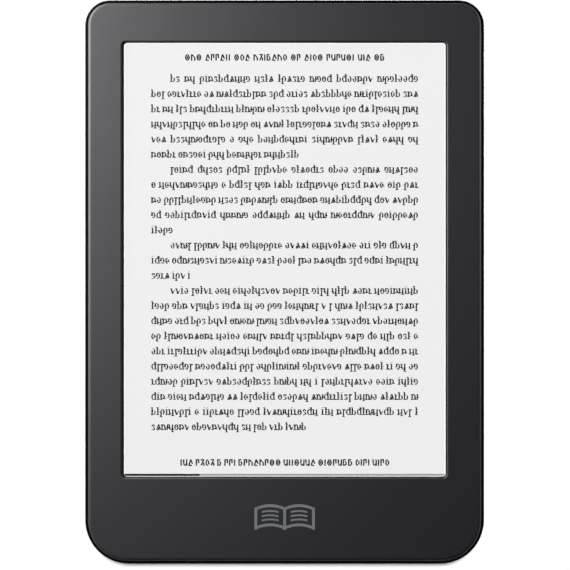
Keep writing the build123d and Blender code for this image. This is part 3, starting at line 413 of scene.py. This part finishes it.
def make_mark():
    """A plain open-book sign: two bowed pages with three lines of writing each."""
    ink = Strokes(FACE_Z)

    def bowed(side, level, start, end):
        """Points along a page's edge, which rises to a bow between the spine and the side."""
        shares = [start + (end - start) * i / MARK_STEPS for i in range(MARK_STEPS + 1)]
        bows = [MARK_BOW * math.sin(math.pi * share) ** MARK_BOW_POWER for share in shares]
        return [(side * share * MARK_HALF, MARK_Y + level + bow) for share, bow in zip(shares, bows)]

    def line(side, level, start, end, width):
        upper = bowed(side, level + width / 2, start, end)
        lower = bowed(side, level - width / 2, start, end)
        ink.band(upper, lower)

    for side in (-1, 1):
        line(side, MARK_HIGH, 0.0, 1.0, MARK_LINE)
        line(side, MARK_LOW, 0.0, 1.0, MARK_LINE)
        edge = side * MARK_HALF
        ink.box(
            edge - MARK_LINE / 2,
            edge + MARK_LINE / 2,
            MARK_Y + MARK_LOW - MARK_LINE / 2,
            MARK_Y + MARK_HIGH + MARK_LINE / 2,
            lift=1,
        )
        for share in MARK_WRITING_LEVELS:
            level = MARK_LOW + share * (MARK_HIGH - MARK_LOW)
            line(side, level, *MARK_WRITING, MARK_WRITING_LINE)
    ink.box(
        -MARK_LINE / 2,
        MARK_LINE / 2,
        MARK_Y + MARK_LOW - MARK_SPINE_BELOW,
        MARK_Y + MARK_HIGH + MARK_SPINE_ABOVE,
        lift=2,
    )
    ink.finish("front_mark", "mark_print")


# ---------------------------------------------------------------- grip texture on the back

PANEL_Z = 0.15 * MM
PANEL_INSET = 7.5 * MM
DOT_PITCH = 2.3 * MM
DOT_RADIUS = 0.5 * MM
DOT_HEIGHT = 0.11 * MM
DOT_SUNK = 0.02 * MM
DOT_SIDES = 8
# Each ring of a dot: its share of the radius, and its share of the height
DOT_RINGS = ((0.72, 0.62), (0.36, 0.94))
DOT_MARGIN = 1.6 * MM
# Corner radii at the top and at the bottom
PANEL_CORNERS = (3.0 * MM, 4.85 * MM)
BUTTON_CLEAR = 9.2 * MM
PIPE_CLEAR = 2.4 * MM


def inside_panel(x, y):
    """Whether a dot fits in the grip panel, clear of the button and the status light."""
    half_x = cad_box[1].x - PANEL_INSET - DOT_MARGIN
    half_y = cad_box[1].y - PANEL_INSET - DOT_MARGIN
    if abs(x) > half_x or abs(y) > half_y:
        return False
    corner = PANEL_CORNERS[0] if y > 0 else PANEL_CORNERS[1]
    over_x = abs(x) - (half_x - corner)
    over_y = abs(y) - (half_y - corner)
    if over_x > 0 and over_y > 0 and math.hypot(over_x, over_y) > corner:
        return False
    if math.hypot(x - BUTTON.x, y - BUTTON.y) < BUTTON_CLEAR:
        return False
    return math.hypot(x - PIPE.x, y - PIPE.y) > PIPE_CLEAR


def make_grip():
    """Low domes in a hexagonal pattern, moulded in the back's shallow panel."""
    points = []
    faces = []
    row_pitch = DOT_PITCH * math.sqrt(3) / 2
    rows = int(cad_box[1].y / row_pitch)
    columns = int(cad_box[1].x / DOT_PITCH) + 1
    rings = [(1.0, -DOT_SUNK)] + [(share, rise * DOT_HEIGHT) for share, rise in DOT_RINGS]
    for row in range(-rows, rows + 1):
        for column in range(-columns, columns + 1):
            x = (column + 0.5 * (row % 2)) * DOT_PITCH
            y = row * row_pitch
            if not inside_panel(x, y):
                continue
            start = len(points)
            for share, height in rings:
                for i in range(DOT_SIDES):
                    angle = 2 * math.pi * i / DOT_SIDES
                    points.append((
                        x + share * DOT_RADIUS * math.cos(angle),
                        y + share * DOT_RADIUS * math.sin(angle),
                        PANEL_Z - height,
                    ))
            for ring in range(len(rings) - 1):
                for i in range(DOT_SIDES):
                    j = (i + 1) % DOT_SIDES
                    near = start + ring * DOT_SIDES
                    far = near + DOT_SIDES
                    faces.append((near + i, near + j, far + j, far + i))
            faces.append(tuple(start + i for i in range(DOT_SIDES)))
            top = start + (len(rings) - 1) * DOT_SIDES
            faces.append(tuple(top + i for i in range(DOT_SIDES)))
    make_piece("grip_dots", points, faces, "cover_plastic", smooth=True)


# ---------------------------------------------------------------- snap dome under the plunger

DOME_SIDES = 32
DOME_BASE_Z = 3.5 * MM
DOME_HEIGHT = 0.38 * MM
DOME_SHEET = 0.06 * MM
DOME_RADIUS = 1.5 * MM
DOME_RINGS = 8


def make_dome():
    """A thin sheet dome under the button; the real one flattens when the button is pressed, this mesh
    keeps its shape.
    """
    points = []
    faces = []
    for sheet in (0, DOME_SHEET):
        for ring in range(1, DOME_RINGS + 1):
            share = ring / DOME_RINGS
            z = DOME_BASE_Z - DOME_SHEET + sheet - (DOME_HEIGHT - DOME_SHEET) * (1 - share ** 2)
            for i in range(DOME_SIDES):
                angle = 2 * math.pi * i / DOME_SIDES
                points.append((
                    BUTTON.x + share * DOME_RADIUS * math.cos(angle),
                    BUTTON.y + share * DOME_RADIUS * math.sin(angle),
                    z,
                ))
    size = DOME_RINGS * DOME_SIDES
    for i in range(DOME_SIDES):
        j = (i + 1) % DOME_SIDES
        for layer in (0, size):
            for ring in range(DOME_RINGS - 1):
                near = layer + ring * DOME_SIDES
                far = near + DOME_SIDES
                faces.append((near + i, near + j, far + j, far + i))
        rim = size - DOME_SIDES
        faces.append((rim + i, rim + j, size + rim + j, size + rim + i))
    faces.append(tuple(range(DOME_SIDES)))
    faces.append(tuple(size + i for i in range(DOME_SIDES)))
    dome = make_piece("snap_dome", points, faces, "spring_steel", smooth=True)
    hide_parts("switch_dome")
    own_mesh(dome)


# ---------------------------------------------------------------- materials

# A noise texture's usual range, and how strong its finer layers are
NOISE_LOW = 0.3
NOISE_HIGH = 0.7
NOISE_ROUGHNESS = 0.6
# The broad mottle of a grained surface: its share of the roughness, and its size in grains
MOTTLE = 0.02
MOTTLE_SIZE = 40
# The upward part of the surface's normal where an edge counts as turned away, and as flat
EDGE_TURNED = 0.9
EDGE_FLAT = 0.995
EDGE_ROUGHNESS = 0.82
BRUSHED_COLOUR = 0.06
BRUSHED_ROUGHNESS = 0.2
# At this scale a wave texture repeats once per unit of its coordinates
STRIPE_SCALE = 0.314
STRIPE_HEIGHT = 0.01 * MM


class Finish:
    """A procedural material round one Principled shader."""

    def __init__(self, name, colour, roughness, metallic=0.0, specular=0.5):
        self.name = name
        self.material = bpy.data.materials.new(name)
        self.material.use_nodes = True
        self.tree = self.material.node_tree
        self.shader = self.tree.nodes["Principled BSDF"]
        self.colour = (*colour, 1.0)
        self.roughness = roughness
        self.set("Base Color", self.colour)
        self.set("Roughness", roughness)
        self.set("Metallic", metallic)
        self.set("Specular IOR Level", specular)
        self.place = self.node("ShaderNodeTexCoord").outputs["Object"]

    def set(self, socket, value):
        """Sets one of the shader's own values."""
        self.shader.inputs[socket].default_value = value

    def node(self, kind, **values):
        """Adds a node with the given properties."""
        made = self.tree.nodes.new(kind)
        for key, value in values.items():
            setattr(made, key, value)
        return made

    def link(self, output, target):
        """Joins one node's output to another's input."""
        self.tree.links.new(output, target)

    def noise(self, size, detail=3.0, stretch=(1, 1, 1)):
        """Noise whose features are about size metres across, stretched along the axes."""
        mapping = self.node("ShaderNodeMapping")
        mapping.inputs["Scale"].default_value = [1 / (size * s) for s in stretch]
        self.link(self.place, mapping.inputs["Vector"])
        noise = self.node("ShaderNodeTexNoise")
        noise.inputs["Scale"].default_value = 1.0
        noise.inputs["Detail"].default_value = detail
        noise.inputs["Roughness"].default_value = NOISE_ROUGHNESS
        self.link(mapping.outputs["Vector"], noise.inputs["Vector"])
        return noise.outputs["Fac"]

    def spread(self, value, low, high):
        """Maps a noise value's usual range onto low to high."""
        ramp = self.node("ShaderNodeMapRange")
        ramp.inputs["From Min"].default_value = NOISE_LOW
        ramp.inputs["From Max"].default_value = NOISE_HIGH
        ramp.inputs["To Min"].default_value = low
        ramp.inputs["To Max"].default_value = high
        self.link(value, ramp.inputs["Value"])
        return ramp.outputs["Result"]

    def vary_colour(self, value, share=0.0, other=None):
        """Goes from a darker to a lighter colour, or from the colour to another, by a value."""
        mix = self.node("ShaderNodeMix", data_type="RGBA")
        lighter = [min(1.0, c * (1 + share)) for c in self.colour[:3]]
        darker = [c * (1 - share) for c in self.colour[:3]]
        mix.inputs["A"].default_value = (*darker, 1.0) if other is None else self.colour
        mix.inputs["B"].default_value = (*lighter, 1.0) if other is None else (*other, 1.0)
        self.link(value, mix.inputs["Factor"])
        self.link(mix.outputs["Result"], self.shader.inputs["Base Color"])

    def vary_roughness(self, value, share):
        """Lowers and raises the roughness by a share of itself, by a noise value."""
        self.link(
            self.spread(value, self.roughness * (1 - share), self.roughness * (1 + share)),
            self.shader.inputs["Roughness"],
        )

    def bump(self, value, height):
        """Raises the surface by up to height metres, by a value."""
        bump = self.node("ShaderNodeBump")
        bump.inputs["Strength"].default_value = 1.0
        bump.inputs["Distance"].default_value = height
        self.link(value, bump.inputs["Height"])
        self.link(bump.outputs["Normal"], self.shader.inputs["Normal"])


def grained(name, colour, roughness, grain, height, metallic=0.0, specular=0.5, share=0.12):
    """A moulded or cast surface: fine grain, with a broad faint mottle in its gloss."""
    finish = Finish(name, colour, roughness, metallic, specular)
    fine = finish.noise(grain, detail=2.0)
    broad = finish.noise(grain * MOTTLE_SIZE, detail=4.0)
    finish.vary_colour(finish.spread(fine, 0.0, 1.0), share)
    finish.vary_roughness(broad, MOTTLE)
    finish.bump(fine, height)
    return finish


def smooth_edges(finish):
    """Less rough where the surface turns away from straight up, as handled edges are."""
    parts = finish.node("ShaderNodeSeparateXYZ")
    finish.link(finish.node("ShaderNodeTexCoord").outputs["Normal"], parts.inputs["Vector"])
    turned = finish.node("ShaderNodeMapRange")
    turned.inputs["From Min"].default_value = EDGE_TURNED
    turned.inputs["From Max"].default_value = EDGE_FLAT
    turned.inputs["To Min"].default_value = EDGE_ROUGHNESS
    turned.inputs["To Max"].default_value = 1.0
    finish.link(parts.outputs["Z"], turned.inputs["Value"])
    product = finish.node("ShaderNodeMath", operation="MULTIPLY")
    finish.link(finish.shader.inputs["Roughness"].links[0].from_socket, product.inputs[0])
    finish.link(turned.outputs["Result"], product.inputs[1])
    finish.link(product.outputs["Value"], finish.shader.inputs["Roughness"])


def brushed(name, colour, roughness, line, height, stretch=(30, 1, 1)):
    """Metal with fine lines along one axis."""
    finish = Finish(name, colour, roughness, metallic=1.0)
    lines = finish.noise(line, detail=2.0, stretch=stretch)
    finish.vary_colour(finish.spread(lines, 0.0, 1.0), BRUSHED_COLOUR)
    finish.vary_roughness(lines, BRUSHED_ROUGHNESS)
    finish.bump(lines, height)
    return finish


def striped(name, colour, other, roughness, pitch, metallic=0.0):
    """A ribbon or board with rows of tracks under its coating."""
    finish = Finish(name, colour, roughness, metallic)
    mapping = finish.node("ShaderNodeMapping")
    mapping.inputs["Scale"].default_value = (1 / pitch, 1 / pitch, 1 / pitch)
    finish.link(finish.place, mapping.inputs["Vector"])
    wave = finish.node("ShaderNodeTexWave", wave_type="BANDS", bands_direction="X")
    wave.inputs["Scale"].default_value = STRIPE_SCALE
    wave.inputs["Distortion"].default_value = 0.0
    finish.link(mapping.outputs["Vector"], wave.inputs["Vector"])
    finish.vary_colour(wave.outputs["Fac"], other=other)
    finish.bump(wave.outputs["Fac"], STRIPE_HEIGHT)
    return finish


def paper(name, colour, grain=0.15 * MM, share=0.12):
    """A matt surface of the page, printed or plain."""
    return grained(name, colour, 0.85, grain, 0.001 * MM, specular=0.12, share=share)


def make_materials():
    """Every slot's material, by slot name."""
    along_y = (1, 30, 1)
    finishes = [
        grained("frame_plastic", (0.002, 0.0024, 0.006), 0.8, 0.4 * MM, 0.02 * MM),
        grained(
            "cover_plastic", (0.0022, 0.0022, 0.0025), 0.36, 0.2 * MM, 0.002 * MM, specular=0.06
        ),
        grained("silicone", (0.01, 0.01, 0.01), 0.7, 0.3 * MM, 0.004 * MM, specular=0.3),
        grained("black_mask", (0.011, 0.011, 0.011), 0.7, 0.2 * MM, 0.002 * MM, specular=0.15),
        paper("screen_film", (0.722, 0.722, 0.722), 0.25 * MM, share=0.02),
        paper("page_ink", (0.013, 0.013, 0.014)),
        paper("page_grey", (0.3, 0.3, 0.3)),
        paper("page_pale", (0.5, 0.5, 0.49)),
        paper("page_border", (0.877, 0.877, 0.877), 0.25 * MM, share=0.02),
        grained("mark_print", (0.125, 0.13, 0.137), 0.6, 0.15 * MM, 0.002 * MM),
        striped("flex_amber", (0.42, 0.17, 0.02), (0.25, 0.09, 0.01), 0.35, 0.4 * MM),
        grained("led_white", (0.8, 0.74, 0.42), 0.3, 0.2 * MM, 0.002 * MM),
        grained("ink_laminate", (0.5, 0.5, 0.48), 0.6, 0.2 * MM, 0.002 * MM),
        grained("chip_black", (0.018, 0.018, 0.02), 0.5, 0.1 * MM, 0.003 * MM),
        grained("adhesive", (0.02, 0.02, 0.02), 0.5, 0.5 * MM, 0.01 * MM),
        grained(
            "cast_magnesium", (0.42, 0.42, 0.43), 0.5, 0.25 * MM, 0.012 * MM, metallic=1.0
        ),
        brushed("steel", (0.6, 0.6, 0.6), 0.32, 0.06 * MM, 0.001 * MM),
        brushed("battery_foil", (0.6, 0.6, 0.62), 0.4, 0.4 * MM, 0.02 * MM, stretch=(3, 1, 1)),
        grained("foam", (0.035, 0.035, 0.035), 0.9, 0.35 * MM, 0.08 * MM, specular=0.2),
        striped("board_green", (0.008, 0.085, 0.03), (0.02, 0.13, 0.05), 0.3, 1.1 * MM),
        grained("wire_red", (0.35, 0.015, 0.012), 0.4, 0.2 * MM, 0.002 * MM),
        grained("connector_white", (0.72, 0.69, 0.6), 0.45, 0.2 * MM, 0.002 * MM),
        grained("ferrite", (0.06, 0.06, 0.065), 0.45, 0.15 * MM, 0.006 * MM),
        grained("capacitor_tan", (0.32, 0.22, 0.13), 0.45, 0.1 * MM, 0.002 * MM),
        grained("connector_black", (0.015, 0.015, 0.015), 0.42, 0.15 * MM, 0.002 * MM),
        striped(
            "flex_copper", (0.7, 0.33, 0.16), (0.4, 0.16, 0.02), 0.4, 1.6 * MM, metallic=0.6
        ),
        grained("cable_black", (0.015, 0.015, 0.015), 0.45, 0.2 * MM, 0.002 * MM),
        brushed("gold", (0.9, 0.62, 0.22), 0.25, 0.05 * MM, 0.0005 * MM, along_y),
        brushed("port_steel", (0.55, 0.55, 0.56), 0.28, 0.05 * MM, 0.001 * MM, along_y),
        grained(
            "button_plastic", (0.008, 0.008, 0.009), 0.45, 0.15 * MM, 0.002 * MM, specular=0.3
        ),
        grained("plunger_plastic", (0.68, 0.68, 0.65), 0.45, 0.1 * MM, 0.002 * MM),
        brushed("spring_steel", (0.62, 0.6, 0.56), 0.25, 0.04 * MM, 0.0005 * MM),
        grained("clear_acrylic", (0.86, 0.9, 0.9), 0.08, 0.5 * MM, 0.001 * MM, share=0.02),
        grained("display_glass", (0.5, 0.56, 0.53), 0.05, 1.0 * MM, 0.0005 * MM, share=0.02),
    ]
    by_name = {finish.name: finish for finish in finishes}
    smooth_edges(by_name["frame_plastic"])
    for name, bending in (("clear_acrylic", 1.49), ("display_glass", 1.52)):
        by_name[name].set("Transmission Weight", 0.85)
        by_name[name].set("IOR", bending)
    return {name: finish.material for name, finish in by_name.items()}


def dress(materials):
    """Gives every CAD node its slot's material."""
    slots = {part["node"]: part["material_slot"] for part in frame["record"]["subparts"]}
    for name, node in nodes.items():
        if not node.material_slots:
            node.data.materials.append(None)
        for slot in node.material_slots:
            slot.material = materials[slots[name]]


# ---------------------------------------------------------------- stage, lights and camera

CAMERA_X = 0.107 * MM
CAMERA_Y = -0.844 * MM
VIEW_WIDTH = 161.0 * MM
OUTLINE_Z = 6.5 * MM
CAMERA_LENS = 100
SENSOR = 36
FLOOR_SIZE = 0.6
FLOOR_MOTTLE = 0.3
SHEEN_LEFT = (-159.6 * MM, 85.9 * MM, 73.5 * MM)
SHEEN_RIGHT = (313 * MM, 105 * MM, 20 * MM)
# The world's even fill, and the glow that reflections see, full below one height of the
# direction's upward part and gone above another
FILL = 0.08
GLOW = 0.14
GLOW_FULL = 0.15
GLOW_GONE = 0.75


def make_floor():
    """A plain pale floor."""
    bpy.ops.mesh.primitive_plane_add(size=FLOOR_SIZE)
    floor = bpy.context.object
    floor.name = "floor"
    paint = Finish("floor_paint", (0.9, 0.9, 0.9), 0.9, specular=0.1)
    broad = paint.noise(FLOOR_MOTTLE, detail=2.0)
    paint.vary_colour(paint.spread(broad, 0.0, 1.0), 0.004)
    floor.data.materials.append(paint.material)


def area_light(name, place, target, size, power, diffuse=True, glossy=True):
    """A soft box aimed at a point."""
    data = bpy.data.lights.new(name, "AREA")
    data.shape = "RECTANGLE"
    data.size, data.size_y = size
    data.energy = power
    light = bpy.data.objects.new(name, data)
    light.location = place
    light.rotation_euler = (Vector(target) - Vector(place)).to_track_quat("-Z", "Y").to_euler()
    light.visible_diffuse = diffuse
    light.visible_glossy = glossy
    light.visible_camera = False
    bpy.context.scene.collection.objects.link(light)


def make_lights():
    """A key high above the top edge, and a sheen light on each side, the right one weaker."""
    middle = (0, 0, 0)
    area_light("key", (0, 0.54, 2.6), middle, (0.3, 0.5), 80, glossy=False)
    area_light("sheen_left", SHEEN_LEFT, middle, (0.194, 0.054), 2.15, diffuse=False)
    area_light("sheen_right", SHEEN_RIGHT, middle, (0.05, 0.05), 0.7, diffuse=False)


def make_world():
    """White to the camera, a faint even fill, and for reflections a glow that fades overhead."""
    world = bpy.data.worlds.new("studio")
    bpy.context.scene.world = world
    world.use_nodes = True
    tree = world.node_tree
    background = tree.nodes["Background"]
    output = tree.nodes["World Output"]
    path = tree.nodes.new("ShaderNodeLightPath")
    direction = tree.nodes.new("ShaderNodeTexCoord")
    height = tree.nodes.new("ShaderNodeSeparateXYZ")
    tree.links.new(direction.outputs["Generated"], height.inputs["Vector"])
    fade = tree.nodes.new("ShaderNodeMapRange")
    fade.inputs["From Min"].default_value = GLOW_FULL
    fade.inputs["From Max"].default_value = GLOW_GONE
    fade.inputs["To Min"].default_value = GLOW
    fade.inputs["To Max"].default_value = 0.0
    tree.links.new(height.outputs["Z"], fade.inputs["Value"])
    glossy = tree.nodes.new("ShaderNodeBackground")
    tree.links.new(fade.outputs["Result"], glossy.inputs["Strength"])
    fill = tree.nodes.new("ShaderNodeBackground")
    fill.inputs["Strength"].default_value = FILL
    background.inputs["Color"].default_value = (1, 1, 1, 1)
    background.inputs["Strength"].default_value = 1.0
    by_gloss = tree.nodes.new("ShaderNodeMixShader")
    tree.links.new(path.outputs["Is Glossy Ray"], by_gloss.inputs["Fac"])
    tree.links.new(fill.outputs["Background"], by_gloss.inputs[1])
    tree.links.new(glossy.outputs["Background"], by_gloss.inputs[2])
    by_camera = tree.nodes.new("ShaderNodeMixShader")
    tree.links.new(path.outputs["Is Camera Ray"], by_camera.inputs["Fac"])
    tree.links.new(by_gloss.outputs["Shader"], by_camera.inputs[1])
    tree.links.new(background.outputs["Background"], by_camera.inputs[2])
    tree.links.new(by_camera.outputs["Shader"], output.inputs["Surface"])


def make_camera():
    """Straight above the device, with its top edge towards the top of the view."""
    data = bpy.data.cameras.new("camera")
    data.sensor_width = SENSOR
    data.lens = CAMERA_LENS
    data.clip_start = 0.01
    data.clip_end = 50
    camera = bpy.data.objects.new("camera", data)
    camera.location = (CAMERA_X, CAMERA_Y, OUTLINE_Z + VIEW_WIDTH * CAMERA_LENS / SENSOR)
    bpy.context.scene.collection.objects.link(camera)
    bpy.context.scene.camera = camera


# ---------------------------------------------------------------- build

make_camera()
materials = make_materials()
dress(materials)
make_page()
make_mark()
make_grip()
make_dome()
make_page_edges()
make_floor()
make_lights()
make_world()
bpy.context.scene.view_settings.view_transform = "Standard"
